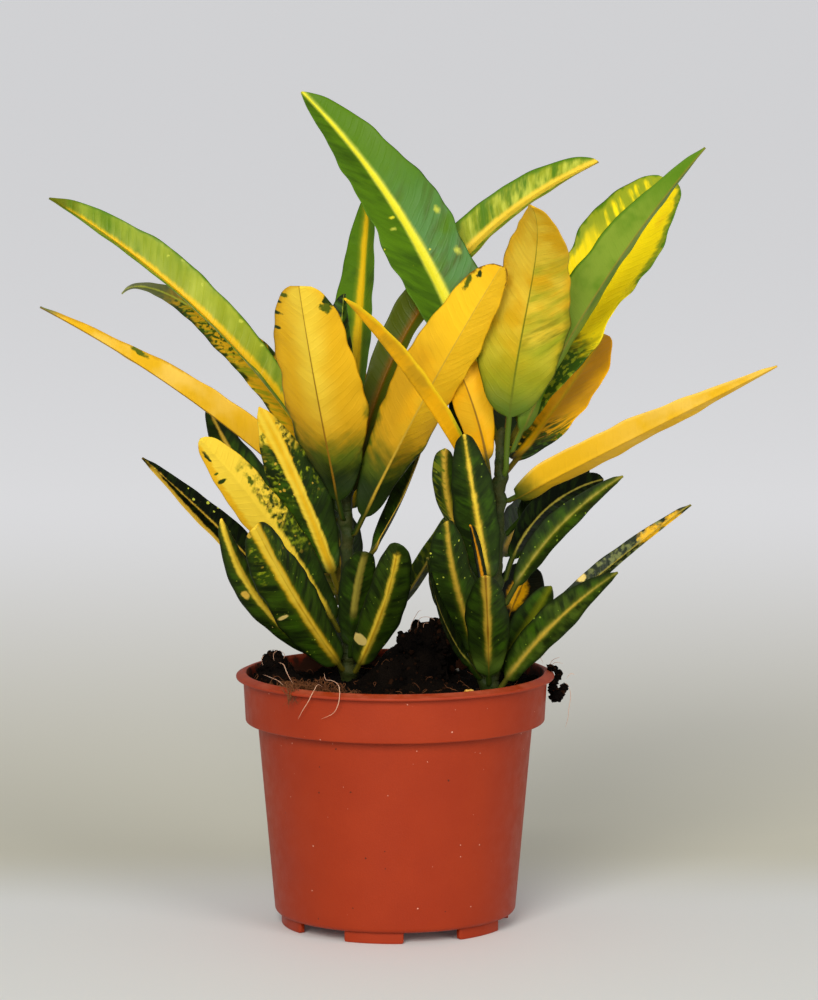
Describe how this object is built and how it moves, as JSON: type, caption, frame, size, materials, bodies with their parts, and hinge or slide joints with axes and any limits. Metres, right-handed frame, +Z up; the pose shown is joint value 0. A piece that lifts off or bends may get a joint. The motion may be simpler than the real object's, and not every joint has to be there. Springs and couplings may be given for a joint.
{
  "type": "potted croton plant",
  "caption": "Young two-stemmed croton with long green, gold and dark variegated leaves, growing in peat in a terracotta-coloured plastic nursery pot with a banded rim and feet.",
  "frame": {"origin": "under the middle of the whole plant's bounding box, on the plane the pot's feet stand on", "axes": "+Z up along the pot's axis; the side seen in the picture faces -Y; +X to the right as seen in the picture"},
  "size_m": [0.2792, 0.2026, 0.3183],
  "materials": {
    "pot_plastic": "satin terracotta-orange moulded plastic",
    "soil": "dark crumbly peat with fine roots",
    "stem": "green-brown young bark with leaf scars",
    "leaf_gold": "satin golden yellow leaf with green margins and thin midrib",
    "leaf_lime": "glossy mid-green leaf with yellow midrib and clouding",
    "leaf_dark": "glossy dark green leaf with broad yellow midrib and cream specks"
  },
  "bodies": {
    "root": {"pot": "pot_plastic", "soil": "soil", "rim_clump": "soil", "stem_left": "stem", "stem_right": "stem", "leaf_left_01": "leaf_lime", "leaf_left_02": "leaf_dark", "leaf_left_03": "leaf_lime", "leaf_left_04": "leaf_lime", "leaf_left_05": "leaf_gold", "leaf_left_06": "leaf_lime", "leaf_left_07": "leaf_gold", "leaf_left_08": "leaf_gold", "leaf_left_09": "leaf_lime", "leaf_left_10": "leaf_gold", "leaf_left_11": "leaf_dark", "leaf_left_12": "leaf_dark", "leaf_left_13": "leaf_dark", "leaf_left_14": "leaf_lime", "leaf_left_15": "leaf_dark", "leaf_left_16": "leaf_lime", "leaf_left_17": "leaf_dark", "leaf_left_18": "leaf_dark", "leaf_left_19": "leaf_dark", "leaf_left_20": "leaf_dark", "leaf_left_21": "leaf_dark", "leaf_left_22": "leaf_dark", "leaf_left_23": "leaf_dark", "leaf_right_01": "leaf_lime", "leaf_right_02": "leaf_gold", "leaf_right_03": "leaf_lime", "leaf_right_04": "leaf_gold", "leaf_right_05": "leaf_gold", "leaf_right_06": "leaf_gold", "leaf_right_07": "leaf_gold", "leaf_right_08": "leaf_dark", "leaf_right_09": "leaf_gold", "leaf_right_10": "leaf_gold", "leaf_right_11": "leaf_dark", "leaf_right_12": "leaf_dark", "leaf_right_13": "leaf_dark", "leaf_right_14": "leaf_dark", "leaf_right_15": "leaf_dark", "leaf_right_16": "leaf_dark", "leaf_right_17": "leaf_dark", "leaf_right_18": "leaf_gold", "leaf_right_19": "leaf_dark", "leaf_right_20": "leaf_dark", "leaf_right_21": "leaf_dark", "leaf_right_22": "leaf_dark", "leaf_right_23": "leaf_dark", "leaf_right_24": "leaf_dark", "leaf_right_25": "leaf_dark", "leaf_right_26": "leaf_dark", "leaf_right_27": "leaf_dark"}
  },
  "joints": []
}
